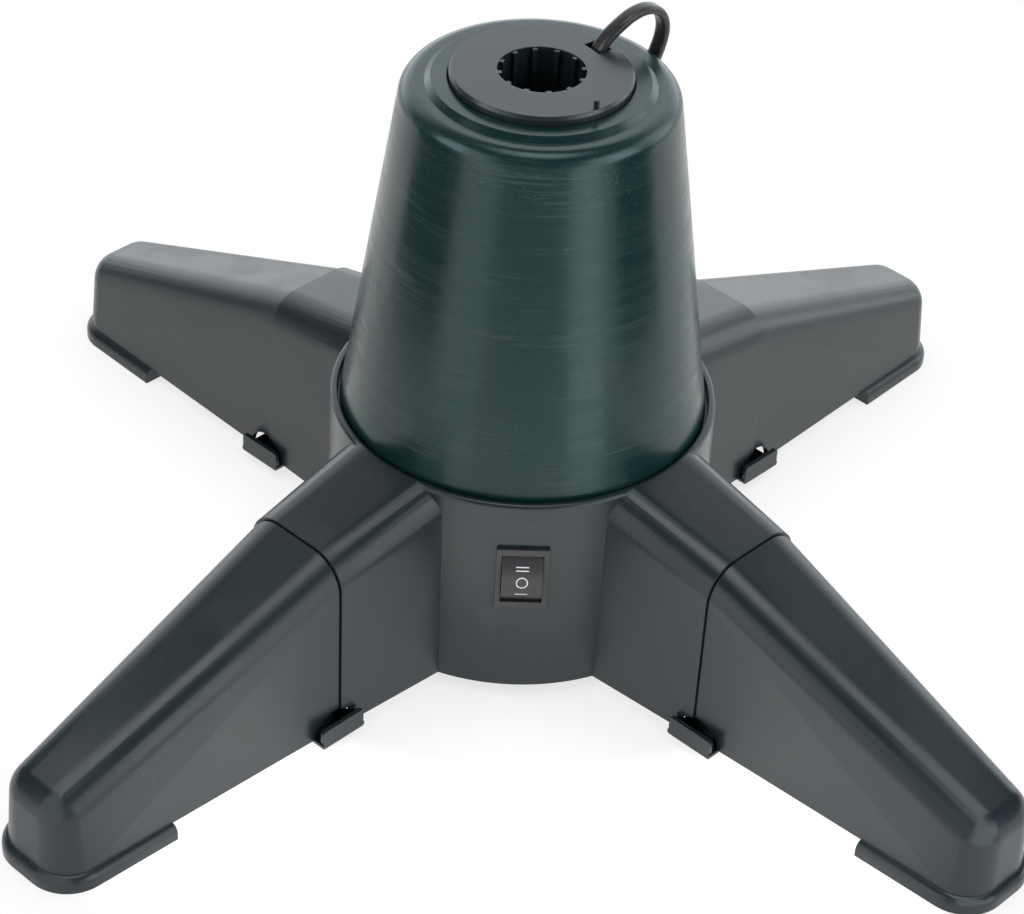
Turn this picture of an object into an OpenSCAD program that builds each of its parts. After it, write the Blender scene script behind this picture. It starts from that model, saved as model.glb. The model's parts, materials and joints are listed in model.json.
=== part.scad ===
// Rotating stand for a small artificial tree: a four-legged moulded base, a conical motor
// cover, and a motor-driven turntable with a splined socket for the trunk.
// The floor is Z = 0, the turntable turns about the Z axis, and the switch faces -Y.

/* [Turntable] */
// Height of the turntable's top face above the floor
top_z = 273.6; // [272:0.2:280]
// Radius of the turntable's disc
disc_r = 39.4; // [38.8:0.1:39.8]
// Thickness of the disc
disc_t = 7.6; // [6:0.2:9]
// Radius at the bottom of the grooves in the trunk socket
socket_root_r = 19; // [18.2:0.1:20]
// Radius at the tips of the trunk socket's ribs
socket_tip_r = 17.2; // [17.1:0.1:17.6]
// Number of ribs round the trunk socket
rib_count = 12; // [8:1:16]
// Width of one rib of the trunk socket
rib_w = 2.2; // [1.6:0.1:3]
// Wall of the splined sleeve
sleeve_wall = 3.5; // [3:0.1:4.5]
// Outer radius of the skirt under the disc
skirt_r = 38; // [37:0.1:38.4]
// Wall of the skirt
skirt_wall = 2.6; // [2:0.1:3.2]
// Length of the skirt below the disc
skirt_len = 28; // [24:0.5:32]
// Size of the cord's slot in the disc, along the rim
slot_w = 10; // [9.6:0.1:11]
// Size of the cord's slot, towards the rim
slot_d = 7; // [6.6:0.1:7.2]
// Distance of the slot's centre from the axis
slot_at = 31.7; // [31.4:0.1:32]
// Radius of the index pin
index_pin_r = 1.2; // [0.9:0.1:1.5]
// Height of the index pin above the disc
index_pin_h = 3; // [2:0.1:6]
// Distance of the index pin from the axis
index_pin_at = 36; // [34:0.2:37]

/* [Spindle] */
// Inner radius of the tube that takes the trunk
spindle_bore_r = 17; // [16:0.1:17.1]
// Outer radius of the tube
spindle_r = 21; // [20.2:0.1:21.6]
// Height of the tube's upper flange
spindle_top_z = 228; // [222:0.5:234]
// Thickness of the tube's floor, where the trunk stands
spindle_floor_t = 5; // [3:0.5:8]
// Radius of the tube's lower flange
spindle_foot_r = 34; // [33:0.2:35]
// Radius of the upper flange, which is screwed to the sleeve
flange_r = 30; // [28.5:0.2:31]
// Thickness of each flange
flange_t = 4; // [3:0.2:5]

/* [Cover] */
// Radius of the cone where it meets the base
cover_foot_r = 82.7; // [82:0.1:83]
// Radius of the cone at its shoulder
cover_shoulder_r = 60.5; // [58.5:0.1:62]
// Height of the cover's upper annulus
cover_top_z = 267; // [266:0.1:268]
// Rounding of the cover's shoulder
shoulder_round = 7.5; // [5:0.1:8.5]
// Wall of the cover
cover_wall = 2.8; // [2.2:0.1:3.4]
// Height of the raised ring round the turntable
plateau_h = 2.6; // [1.6:0.1:3]
// Outer radius of the raised ring's top
plateau_r = 46.9; // [45.5:0.1:47.6]
// Width of the ring's sloping edge
plateau_slope = 2.6; // [1.5:0.1:3.2]
// Radius of the cover's mouth round the disc
mouth_r = 40; // [39.9:0.1:41]
// Depth of the neck that holds the bushing, below the turntable's disc
neck_len = 29; // [28:0.2:32]
// Number of ribs under the cover's top
cover_ribs = 8; // [4:1:10]

/* [Base] */
// Outer radius of the base's drum
hub_r = 87; // [86.6:0.1:89]
// Height of the lower edge of the drum's wall
wall_z = 7.8; // [7.7:0.1:8.2]
// Height of the rim round the cover
rim_z = 108.2; // [107.4:0.1:109]
// Width of the groove between the cover and the rim
rim_gap = 0.8; // [0.5:0.1:1.2]
// Wall of the drum
hub_wall = 3; // [2.4:0.1:3.2]
// Height of the drum's inner floor
floor_z = 30; // [28.5:0.5:31]
// Thickness of the inner floor
floor_t = 4; // [3:0.5:5]
// Height of the ledge on which the cover stands
ledge_z = 104; // [103:0.2:105]
// Distance from the axis to the flat panel of the switch
panel_y = 85; // [84.6:0.1:85.4]
// Thickness of the plate that closes the underside
base_plate_t = 2.8; // [2:0.1:3.4]

/* [Legs] */
// Distance from the axis to the end of a stub
stub_u = 137.9; // [134:0.5:142]
// Height of a stub at its end
stub_z = 97.6; // [97:0.2:99]
// Width of a stub at its end
stub_w = 58.4; // [58:0.2:60]
// Width of a stub where it joins the drum
stub_root_w = 65; // [62:0.5:67]
// Rounding along the upper edges of stubs and legs
edge_round = 16; // [13:0.5:16.5]
// Gap at the seam between stub and leg
seam_gap = 0.7; // [0.4:0.1:1]
// Step of a leg's surface below the stub's
seam_step = 0.9; // [0.5:0.1:1.4]
// Distance from the axis to the end of a leg
leg_u = 289; // [276:0.5:300]
// Height of a leg's upper line at its end
leg_end_z = 42.5; // [39:0.5:47]
// Width of a leg's end
leg_end_w = 46.6; // [43:0.2:50]
// Rounding of the leg's end
end_round = 14.5; // [12:0.5:16]
// Wall of the legs
leg_wall = 3; // [2.4:0.1:3.4]
// Width by which the foot stands out from the leg
foot_ledge = 3; // [2:0.1:5]
// Height of the foot's ledge
foot_h = 7.6; // [6:0.1:7.6]
// Length of the foot along the leg
foot_len = 61; // [50:1:70]
// Depth of a leg's tongue inside the stub
tongue_len = 38; // [30:1:42]
// Width of the tongue
tongue_w = 51.4; // [50:0.2:51.4]
// Height of the tongue's top
tongue_z = 91.7; // [90:0.1:92]
// Length of the latch clip under the seam
clip_len = 23.6; // [20:0.2:26]
// Height of the clip's side plates
clip_h = 9.6; // [8:0.2:11]
// Thickness of the clip
clip_t = 2.2; // [1.8:0.1:2.3]
// Gap between the clip's plates and the stub's walls
clip_gap = 1.9; // [1.4:0.1:2.6]
// Radius of the arch that frees the clip's fingers
arch_r = 12.3; // [10:0.1:13]

/* [Switch] */
// Height of the rocker switch's centre
switch_z = 68; // [66:0.2:70]
// Width of the switch's frame
switch_w = 23.2; // [22.6:0.2:25]
// Height of the switch's frame
switch_h = 32.4; // [31.8:0.2:34]
// Width of the rocker
rocker_w = 18; // [16:0.2:18.4]
// Radius of the rocker's ends about its pivot
rocker_r = 12.6; // [12:0.1:12.8]
// How far the frame stands out of the panel
bezel_t = 1.8; // [1.2:0.1:2.4]
// Depth of the switch's housing behind the panel
switch_depth = 19; // [17:0.5:21]

/* [Drive] */
// Module of the gears
gear_module = 2; // [1.9:0.02:2.02]
// Teeth of the large gear on the spindle
driven_teeth = 42; // [42:1:42]
// Teeth of the idler's small gear
idler_small_teeth = 12; // [12:1:12]
// Teeth of the idler's large gear
idler_large_teeth = 24; // [24:1:24]
// Teeth of the motor's pinion
pinion_teeth = 12; // [12:1:12]
// Face width of the driven gear
driven_t = 10; // [8:0.5:10.5]
// Face width of the idler's large gear
idler_t = 6; // [5:0.2:7]
// Play between meshing teeth, along the pitch circle
backlash = 0.2; // [0.12:0.02:0.3]
// Radius of the motor's can
motor_r = 25; // [22:0.5:26]
// Height of the motor's can
motor_h = 20; // [16:0.5:24]
// Height of the chassis plate's underside
chassis_z = 67; // [66.5:0.5:69]
// Thickness of the chassis plate
chassis_t = 3; // [2:0.2:4]
// Radius of the chassis plate
chassis_r = 76; // [74:0.5:77]

/* [Bearing] */
// Radius of the circle that the balls run on
ball_circle_r = 28; // [27:0.2:29]
// Radius of one ball
ball_r = 3; // [2.5:0.1:3.2]
// Number of balls
ball_count = 12; // [8:1:14]
// Thickness of each race
race_t = 2.4; // [2:0.1:3]

/* [Cord] */
// Width of the flat output cord
cord_w = 7.2; // [6.6:0.1:7.6]
// Thickness of the output cord
cord_t = 4.2; // [3.8:0.1:4.6]

/* [Hidden] */
$fn = 96;

eps = 0.01;                 // overlap that joins two solids
slice = 0.4;                // thickness of a section that a hull spans
over = 1;                   // how far a cut runs past the face it opens
running = 0.05;             // radial clearance of a running fit
seat_gap = 0.3;             // clearance between parts that move past each other
screw_r = 1.5;              // radius of a self-tapping screw
screw_head_r = 3.2;         // radius of its pan head
screw_head_h = 2;           // height of its head
screw_end_wall = 2;         // material left over a blind screw hole
screw_end_gap = 1;          // room between a screw's end and the bottom of its hole
cover_boss_r = 4.4;         // radius of the bosses in the cover
cover_boss_h = 14;          // height of those bosses
leg_angles = [-45, 45, 135, 225];
dark_green = [0.10, 0.14, 0.13];
leg_green = [0.17, 0.20, 0.20];
steel = [0.72, 0.73, 0.75];
white_nylon = [0.88, 0.88, 0.84];
brass = [0.80, 0.64, 0.30];
black = [0.07, 0.07, 0.08];

// Heights that stack on each other
disc_under_z = top_z - disc_t;
skirt_end_z = disc_under_z - skirt_len;
plateau_z = cover_top_z + plateau_h;
neck_end_z = disc_under_z - neck_len;
lip_t = 3;                                  // lip under the bushing
bushing_z = neck_end_z + lip_t;
bushing_h = 12;
lower_race_z = floor_z;
ball_z = lower_race_z + race_t + ball_r;
upper_race_z = ball_z + ball_r;
spindle_foot_z = upper_race_z + race_t;
driven_z = spindle_foot_z + flange_t;
spindle_floor_z = spindle_foot_z + spindle_floor_t;
idler_bottom_z = driven_z - 0.6;
idler_large_z = driven_z + driven_t + 2.6;
idler_top_z = idler_large_z + idler_t;
chassis_top_z = chassis_z + chassis_t;
ring_core_z = chassis_top_z + 2;
ring_core_h = 28;
hub_inner_r = hub_r - hub_wall;
rim_inner_r = cover_foot_r + rim_gap;
leg_seam_u = stub_u + seam_gap;
foot_start_u = leg_u + foot_ledge - foot_len;
clip_u = stub_u + 2.3;
clip_outer_v = stub_w / 2 + clip_gap + clip_t;

// Gear centres
driven_pitch_r = gear_module * driven_teeth / 2;
idler_small_pitch_r = gear_module * idler_small_teeth / 2;
idler_large_pitch_r = gear_module * idler_large_teeth / 2;
pinion_pitch_r = gear_module * pinion_teeth / 2;
idler_angle = 60;                           // azimuth of the idler's pin
motor_bearing = 170;                        // direction from the idler's pin to the motor
idler_at = (driven_pitch_r + idler_small_pitch_r) * [cos(idler_angle), sin(idler_angle)];
motor_at = idler_at + (idler_large_pitch_r + pinion_pitch_r)
    * [cos(motor_bearing), sin(motor_bearing)];
idler_pin_r = 3;
motor_shaft_r = 3;
pressure_angle = 25;
addendum = 0.95;                            // in modules
dedendum = 1.25;                            // in modules

// Places of fasteners
post_angles = [15, 150, 210, 330];
post_at = 66;
cover_screw_at = 76;
plate_screw_at = 70;
plate_screw_angles = [45, 135, 225, 315];

index_pin_angle = -52.5;      // azimuth of the index pin
index_pin_root = 5;          // depth of the index pin in the disc

// Cord: azimuth in degrees, radius and height in mm of points along its centreline
slot_angle = 40;
cord_route = [
    [40, 31.5, 264], [40, 31.5, 269], [39.5, 32.2, 273], [38.5, 35, 277], [37.5, 38.5, 280.2],
    [37, 42.5, 282.8], [37, 47, 284.8], [37, 52, 285.8], [37.2, 57, 285.4], [37.6, 61.5, 283.4],
    [38, 65, 280], [38.4, 67.2, 275.6], [38.7, 68, 271], [39.2, 67.8, 266], [40, 67.2, 261],
    [41.3, 66.6, 255], [43, 66.6, 248], [44.5, 67.3, 239], [46.5, 68.6, 228], [49, 70.1, 216],
    [51, 71.7, 204], [53, 73.4, 192], [54.3, 75.1, 180], [55, 76.5, 170], [55, 77.7, 161],
    [55, 79, 152]];
cord_sides = 12;
outlet_l = 36;
outlet_w = 20;
outlet_t = 13;
outlet_neck = 8;            // length of the moulded neck round the cord

// ---------------------------------------------------------------- shared shapes

// Points of a round arc
function arc(c, r, a0, a1, n) = [for (i = [0:n]) let (a = a0 + (a1 - a0) * i / n)
    c + r * [cos(a), sin(a)]];

// Cross-section of a stub or leg in (across, up): drafted walls and rounded upper edges
function shell_section(half_low, half_high, low, high, r, n = 10) = concat(
    [[half_low, low]],
    arc([half_high - r, high - r], r, 0, 90, n),
    arc([-half_high + r, high - r], r, 90, 180, n),
    [[-half_low, low]]);

// A profile drawn in (across, up), stood up at distance u and extruded outwards
module stand_up(u, length) {
    translate([u, 0, 0])
        rotate([90, 0, 90])
            linear_extrude(length)
                children();
}

module ring(r_out, r_in, z, h) {
    translate([0, 0, z])
        difference() {
            cylinder(r = r_out, h = h);
            translate([0, 0, -over])
                cylinder(r = r_in, h = h + 2 * over);
        }
}

module at_angles(angles, radius) {
    for (a = angles)
        rotate([0, 0, a])
            translate([radius, 0, 0])
                children();
}

// A pan-head screw whose head's underside is at Z = 0 and whose shank goes up
module screw_up(length) {
    translate([0, 0, -screw_head_h])
        difference() {
            cylinder(r = screw_head_r, h = screw_head_h, $fn = 32);
            for (a = [0, 90])
                rotate([0, 0, a])
                    translate([-screw_r, -0.4, -over])
                        cube([2 * screw_r, 0.8, over + 1]);
        }
    translate([0, 0, -eps])
        cylinder(r = screw_r, h = length, $fn = 24);
}

module screw_down(length) {
    mirror([0, 0, 1])
        screw_up(length);
}

// ---------------------------------------------------------------- gears

function involute(r_base, r) = let (a = acos(min(1, r_base / r))) tan(a) * 180 / PI - a;

// Half of a tooth's width, as an angle, at radius r
function tooth_half(z, r) = let (rp = gear_module * z / 2, rb = rp * cos(pressure_angle))
    90 / z - backlash / 4 / rp * 180 / PI + involute(rb, rp) - involute(rb, r);

function gear_outline(z, steps = 3) =
    let (rp = gear_module * z / 2, rb = rp * cos(pressure_angle),
         ra = rp + addendum * gear_module, rf = rp - dedendum * gear_module,
         r0 = max(rb, rf) + 0.02)
    [for (i = [0:z - 1], side = [-1, 1], k = [0:steps + 1])
        let (c = 360 * i / z,
             step = side < 0 ? k : steps + 1 - k,
             r = step == 0 ? rf : r0 + (ra - r0) * (step - 1) / steps,
             h = step == 0 ? tooth_half(z, r0) + (rf < rb ? 0 : 0.35) : tooth_half(z, r))
        r * [cos(c + side * h), sin(c + side * h)]];

// A spur gear with one tooth pointing at `phase`
module spur_gear(z, width, phase) {
    rotate([0, 0, phase])
        linear_extrude(width)
            polygon(gear_outline(z));
}

// ---------------------------------------------------------------- turntable

module turntable() {
    sleeve_r = socket_root_r + sleeve_wall;
    chamfer_r = 1;
    chamfer_z = 1.4;
    rib_inset = 0.4;
    color(leg_green)
    difference() {
        union() {
            rotate_extrude()
                polygon([
                    [socket_root_r, spindle_top_z],
                    [flange_r, spindle_top_z],
                    [flange_r, spindle_top_z + flange_t],
                    [sleeve_r, spindle_top_z + flange_t],
                    [sleeve_r, disc_under_z],
                    [skirt_r - skirt_wall, disc_under_z],
                    [skirt_r - skirt_wall, skirt_end_z],
                    [skirt_r, skirt_end_z],
                    [skirt_r, disc_under_z],
                    [disc_r, disc_under_z],
                    [disc_r, top_z - chamfer_z],
                    [disc_r - chamfer_r, top_z],
                    [socket_root_r, top_z]]);
            for (i = [0:rib_count - 1])
                rotate([0, 0, 8 + 360 / rib_count * i])
                    translate([socket_tip_r, -rib_w / 2, spindle_top_z + rib_inset])
                        cube([socket_root_r - socket_tip_r + 1, rib_w,
                            top_z - spindle_top_z - 2 * rib_inset]);
        }
        rotate([0, 0, slot_angle])
            translate([slot_at - slot_d / 2, -slot_w / 2, disc_under_z - over])
                cube([slot_d, slot_w, disc_t + 2 * over]);
        index_pin_place(index_pin_r);
        at_angles([0, 90, 180, 270], flange_screw_at())
            translate([0, 0, spindle_top_z - over])
                cylinder(r = screw_r, h = flange_t + 2 * over, $fn = 24);
    }
}

module index_pin_place(r) {
    rotate([0, 0, index_pin_angle])
        translate([index_pin_at, 0, top_z - index_pin_root])
            cylinder(r = r, h = index_pin_root + index_pin_h, $fn = 24);
}

module index_pin() {
    color(leg_green)
        index_pin_place(index_pin_r);
}

module spindle_tube() {
    color(leg_green)
    difference() {
        rotate_extrude()
            polygon([
                [0, spindle_foot_z],
                [spindle_foot_r, spindle_foot_z],
                [spindle_foot_r, spindle_foot_z + flange_t],
                [spindle_r, spindle_foot_z + flange_t],
                [spindle_r, spindle_top_z - flange_t],
                [flange_r, spindle_top_z - flange_t],
                [flange_r, spindle_top_z],
                [spindle_bore_r, spindle_top_z],
                [spindle_bore_r, spindle_floor_z],
                [0, spindle_floor_z]]);
        at_angles([0, 90, 180, 270], flange_screw_at())
            translate([0, 0, spindle_top_z - flange_t - over])
                cylinder(r = screw_r, h = flange_t + 2 * over, $fn = 24);
    }
}

function flange_screw_at() = (socket_root_r + sleeve_wall + flange_r) / 2;

module spindle_screws() {
    color(steel)
        at_angles([0, 90, 180, 270], flange_screw_at())
            translate([0, 0, spindle_top_z - flange_t])
                screw_up(2 * flange_t - 0.5);
}

// ---------------------------------------------------------------- cover

// Slope of the cone, as radius lost per millimetre of height
cone_slope = (cover_foot_r - cover_shoulder_r) / (cover_top_z - shoulder_round - ledge_z);
cone_angle = atan(cone_slope);

module drum_cover() {
    shoulder_c = [cover_shoulder_r - shoulder_round, cover_top_z - shoulder_round];
    slope_out_r = plateau_r + plateau_slope;
    neck_r = mouth_r + cover_wall;
    lip_r = skirt_r + 0.6;
    wall_top_z = cover_top_z - cover_wall;
    rib_z = cover_top_z - 24;
    rib_reach = 30;
    rib_root_in = 1.1;      // depth at which the ribs end inside the wall
    color(dark_green)
    difference() {
        union() {
            rotate_extrude($fn = 144)
                polygon(concat(
                    [[cover_foot_r, ledge_z]],
                    arc(shoulder_c, shoulder_round, cone_angle, 90, 8),
                    [[slope_out_r, cover_top_z],
                     [plateau_r, plateau_z],
                     [mouth_r, plateau_z],
                     [mouth_r, bushing_z],
                     [lip_r, bushing_z],
                     [lip_r, neck_end_z],
                     [neck_r, neck_end_z],
                     [neck_r, wall_top_z]],
                    arc(shoulder_c, shoulder_round - cover_wall, 90, cone_angle, 6),
                    [[cover_foot_r - cover_wall, ledge_z]]));
            intersection() {
                for (i = [0:cover_ribs - 1])
                    rotate([0, 0, 360 / cover_ribs * (i + 0.5)])
                        translate([neck_r - 1, -1, rib_z])
                            cube([rib_reach, 2, wall_top_z + 1 - rib_z]);
                rotate_extrude($fn = 144)
                    polygon(concat(
                        [[0, ledge_z], [cover_foot_r - rib_root_in, ledge_z]],
                        arc(shoulder_c, shoulder_round - rib_root_in, cone_angle, 90, 8),
                        [[0, cover_top_z - rib_root_in]]));
            }
            intersection() {
                at_angles([0, 90, 180, 270], cover_screw_at)
                    translate([0, 0, ledge_z])
                        cylinder(r = cover_boss_r, h = cover_boss_h, $fn = 32);
                cylinder(r1 = cover_foot_r - 1 + cone_slope * ledge_z,
                    r2 = cover_foot_r - 1 + cone_slope * (ledge_z - cover_top_z), h = cover_top_z);
            }
        }
        at_angles([0, 90, 180, 270], cover_screw_at)
            translate([0, 0, ledge_z - over])
                cylinder(r = screw_r, h = cover_boss_h - screw_end_wall + over, $fn = 24);
    }
}

module cover_screws() {
    color(steel)
        at_angles([0, 90, 180, 270], cover_screw_at)
            translate([0, 0, ledge_z - ledge_t])
                screw_up(ledge_t + cover_boss_h - screw_end_wall - screw_end_gap);
}

module upper_bushing() {
    color(white_nylon)
        ring(mouth_r, skirt_r + running, bushing_z, bushing_h);
}

// ---------------------------------------------------------------- base

ledge_t = 4;
post_r = 4.5;               // radius of the posts for the chassis and the base plate
post_hole = 12;             // depth of the screw hole in a chassis post
plate_hole = 10;            // depth of the screw hole over the base plate
ledge_in_r = cover_foot_r - cover_wall - 1.5;
drum_low_z = wall_z - 0.5;
plate_z = wall_z;
plate_seat_z = wall_z + base_plate_t;

// Outer form of one stub, which runs level with the rim at the drum and slopes to its end
module stub_form() {
    root_u = sqrt(hub_inner_r * hub_inner_r - stub_root_w * stub_root_w / 4);
    rise = (rim_z + 0.3 - stub_z) / (stub_u - rim_inner_r);
    root_z = stub_z + rise * (stub_u - root_u);
    hull() {
        stand_up(root_u, slice)
            polygon(shell_section(stub_root_w / 2, stub_root_w / 2 - 1.2, wall_z, root_z, edge_round));
        stand_up(stub_u - slice, slice)
            polygon(shell_section(stub_w / 2, stub_w / 2 - 0.9, wall_z, stub_z, edge_round));
    }
}

// Hollow of a stub, from the drum's wall to its open end
module stub_socket() {
    difference() {
        stand_up(hub_r - 10, stub_u - hub_r + 10 + over)
            polygon(shell_section(tongue_w / 2 + seat_gap, tongue_w / 2 + seat_gap,
                wall_z - over, tongue_z + seat_gap, edge_round - leg_wall));
        translate([0, 0, -over])
            cylinder(r = hub_r + 0.5, h = rim_z, $fn = 144);
    }
}

// Round cutter that opens the walls over the latch clip
module arch_cut(half_width) {
    translate([clip_u, half_width, wall_z - 2])
        rotate([90, 0, 0])
            cylinder(r = arch_r, h = 2 * half_width, $fn = 64);
}

module base_hub() {
    bead = 1.7;
    mid_r = (rim_inner_r + hub_r) / 2;
    color(leg_green)
    difference() {
        union() {
            rotate_extrude($fn = 144)
                polygon(concat(
                    [[hub_inner_r, drum_low_z], [hub_r, drum_low_z]],
                    arc([hub_r - bead, rim_z - bead], bead, 0, 90, 6),
                    arc([rim_inner_r + 0.8, rim_z - 0.8], 0.8, 90, 180, 4),
                    [[rim_inner_r, ledge_z], [ledge_in_r, ledge_z],
                     [ledge_in_r, ledge_z - ledge_t + 1], [hub_inner_r, ledge_z - ledge_t - 3]]));
            difference() {
                for (a = leg_angles)
                    rotate([0, 0, a])
                        stub_form();
                translate([0, 0, -over])
                    cylinder(r = hub_inner_r + 1, h = rim_z + 5, $fn = 144);
            }
        }
        for (a = leg_angles)
            rotate([0, 0, a]) {
                stub_socket();
                arch_cut(stub_root_w);
            }
        switch_panel_cut();
        rotate([0, 0, 90])
            translate([hub_r - 10, 0, gland_z])
                rotate([0, 90, 0])
                    cylinder(r = gland_r, h = 20, $fn = 48);
    }
    color(leg_green)
        base_inner();
}

// Floor, posts and lugs inside the drum
module base_inner() {
    difference() {
        union() {
            translate([0, 0, floor_z - floor_t])
                cylinder(r = hub_inner_r + 0.5, h = floor_t, $fn = 144);
            translate([0, 0, floor_z - eps])
                cylinder(r = race_in_r - running, h = race_t, $fn = 64);
            at_angles(post_angles, post_at)
                translate([0, 0, floor_z - eps])
                    cylinder(r = post_r, h = chassis_z - floor_z + eps, $fn = 32);
            translate([idler_at[0], idler_at[1], floor_z - eps])
                cylinder(r = 6, h = idler_bottom_z - 0.3 - floor_z, $fn = 32);
            at_angles([0, 90, 180, 270], cover_screw_at)
                translate([-6, -6, ledge_z - ledge_t])
                    cube([hub_inner_r + 0.5 - cover_screw_at + 6, 12, ledge_t]);
            at_angles(plate_screw_angles, plate_screw_at)
                translate([0, 0, plate_seat_z])
                    cylinder(r = post_r, h = floor_z - floor_t - plate_seat_z + eps, $fn = 32);
            translate([-switch_w / 2 - 5, -panel_y + 0.5, switch_z - switch_h / 2 - 2])
                cube([switch_w + 10, 4, switch_h + 4]);
            for (i = [0:7])
                rotate([0, 0, 22.5 + 45 * i])
                    translate([12, -1, plate_seat_z + 6])
                        cube([hub_inner_r - 11.5, 2, floor_z - floor_t - plate_seat_z - 6 + eps]);
        }
        at_angles(post_angles, post_at)
            translate([0, 0, chassis_z - post_hole])
                cylinder(r = screw_r, h = post_hole + over, $fn = 24);
        translate([idler_at[0], idler_at[1], floor_z])
            cylinder(r = idler_pin_r, h = idler_bottom_z, $fn = 48);
        at_angles([0, 90, 180, 270], cover_screw_at)
            translate([0, 0, ledge_z - ledge_t - over])
                cylinder(r = screw_r, h = ledge_t + 2 * over, $fn = 24);
        at_angles(plate_screw_angles, plate_screw_at)
            translate([0, 0, plate_seat_z - over])
                cylinder(r = screw_r, h = plate_hole + over, $fn = 24);
        rotate([0, 0, 105])
            translate([plate_screw_at, 0, floor_z - floor_t - over])
                cylinder(r = wire_hole_r, h = floor_t + 2 * over, $fn = 32);
        switch_panel_cut();
    }
}

module base_plate() {
    color(leg_green)
    difference() {
        translate([0, 0, plate_z])
            cylinder(r = hub_inner_r - seat_gap, h = base_plate_t, $fn = 144);
        at_angles(plate_screw_angles, plate_screw_at)
            translate([0, 0, plate_z - over]) {
                cylinder(r = screw_r, h = base_plate_t + 2 * over, $fn = 24);
                cylinder(r = screw_head_r + 0.2, h = over + screw_head_h, $fn = 32);
            }
    }
}

module base_plate_screws() {
    color(steel)
        at_angles(plate_screw_angles, plate_screw_at)
            translate([0, 0, plate_z + screw_head_h])
                screw_up(base_plate_t + plate_hole - screw_head_h - screw_end_gap);
}

// ---------------------------------------------------------------- mains gland

gland_z = 18.3;
gland_r = 6;
gland_bore_r = 3.6;
wire_hole_r = 4;

module mains_gland() {
    color(black)
        translate([0, hub_r, gland_z])
            rotate([90, 0, 0])
                difference() {
                    union() {
                        translate([0, 0, -hub_wall])
                            cylinder(r1 = gland_r - 1.2, r2 = gland_r + 1.8, h = hub_wall, $fn = 48);
                        translate([0, 0, -eps])
                            cylinder(r = gland_r, h = hub_wall + 2, $fn = 48);
                        translate([0, 0, hub_wall + 1])
                            cylinder(r = gland_r + 1.5, h = 3, $fn = 48);
                    }
                    translate([0, 0, -hub_wall - over])
                        cylinder(r = gland_bore_r, h = 2 * hub_wall + 6 + 2 * over, $fn = 48);
                }
}

// ---------------------------------------------------------------- drive

module chassis_plate() {
    color(steel)
        difference() {
            translate([0, 0, chassis_z])
                cylinder(r = chassis_r, h = chassis_t, $fn = 120);
            translate([0, 0, chassis_z - over]) {
                cylinder(r = spindle_r + 6, h = chassis_t + 2 * over);
                at_angles(post_angles, post_at)
                    cylinder(r = screw_r, h = chassis_t + 2 * over, $fn = 24);
                translate([idler_at[0], idler_at[1], 0])
                    cylinder(r = idler_pin_r, h = chassis_t + 2 * over, $fn = 48);
                translate([motor_at[0], motor_at[1], 0])
                    cylinder(r = motor_shaft_r + 5, h = chassis_t + 2 * over, $fn = 48);
                for (s = [-1, 1])
                    motor_ear_place(s)
                        cylinder(r = screw_r, h = chassis_t + 2 * over, $fn = 24);
                translate([-switch_w / 2 - 3, -hub_r, 0])
                    cube([switch_w + 6, hub_r - (panel_y - switch_depth - 12), chassis_t + 2 * over]);
            }
        }
}

module motor_ear_place(s) {
    translate([motor_at[0], motor_at[1], 0])
        rotate([0, 0, 10])
            translate([s * (motor_r + 4), 0, 0])
                children();
}

module chassis_screws() {
    color(steel)
        at_angles(post_angles, post_at)
            translate([0, 0, chassis_top_z])
                screw_down(chassis_t + post_hole - 2 * screw_end_gap);
}

module drive_motor() {
    ear_t = 1.6;
    color(steel)
        difference() {
            union() {
                translate([motor_at[0], motor_at[1], chassis_top_z])
                    cylinder(r = motor_r, h = motor_h, $fn = 96);
                hull()
                    for (s = [-1, 1])
                        motor_ear_place(s)
                            translate([0, 0, chassis_top_z])
                                cylinder(r = 4.5, h = ear_t, $fn = 32);
                translate([motor_at[0], motor_at[1], chassis_top_z - 2])
                    cylinder(r = motor_shaft_r + 4, h = 3, $fn = 48);
            }
            translate([motor_at[0], motor_at[1], chassis_top_z - 2 - over])
                cylinder(r = motor_shaft_r + running, h = 12 + over, $fn = 48);
            for (s = [-1, 1])
                motor_ear_place(s)
                    translate([0, 0, chassis_top_z - over])
                        cylinder(r = screw_r, h = ear_t + 2 * over, $fn = 24);
        }
}

module motor_screws() {
    color(steel)
        for (s = [-1, 1])
            motor_ear_place(s)
                translate([0, 0, chassis_top_z + 1.6])
                    screw_down(chassis_t + 1.6 + 1);
}

module motor_shaft() {
    color(steel)
        translate([motor_at[0], motor_at[1], idler_large_z - 1.5])
            cylinder(r = motor_shaft_r, h = chassis_top_z + 9 - (idler_large_z - 1.5), $fn = 48);
}

module motor_pinion() {
    color(white_nylon)
        translate([motor_at[0], motor_at[1], idler_large_z - 0.6])
            difference() {
                spur_gear(pinion_teeth, idler_t + 1.2, motor_bearing + 180 + 180 / pinion_teeth);
                translate([0, 0, -over])
                    cylinder(r = motor_shaft_r, h = idler_t + 2 + 2 * over, $fn = 48);
            }
}

module idler_gear() {
    color(white_nylon)
        translate([idler_at[0], idler_at[1], 0])
            difference() {
                union() {
                    translate([0, 0, idler_bottom_z])
                        spur_gear(idler_small_teeth, idler_large_z + 1 - idler_bottom_z,
                            idler_angle + 180 + 180 / idler_small_teeth);
                    translate([0, 0, idler_large_z])
                        spur_gear(idler_large_teeth, idler_t, motor_bearing);
                }
                translate([0, 0, idler_bottom_z - over])
                    cylinder(r = idler_pin_r + running, h = idler_top_z - idler_bottom_z + 2 * over,
                        $fn = 48);
            }
}

module idler_pin() {
    color(steel)
        translate([idler_at[0], idler_at[1], floor_z])
            cylinder(r = idler_pin_r, h = chassis_top_z - floor_z, $fn = 48);
}

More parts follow.
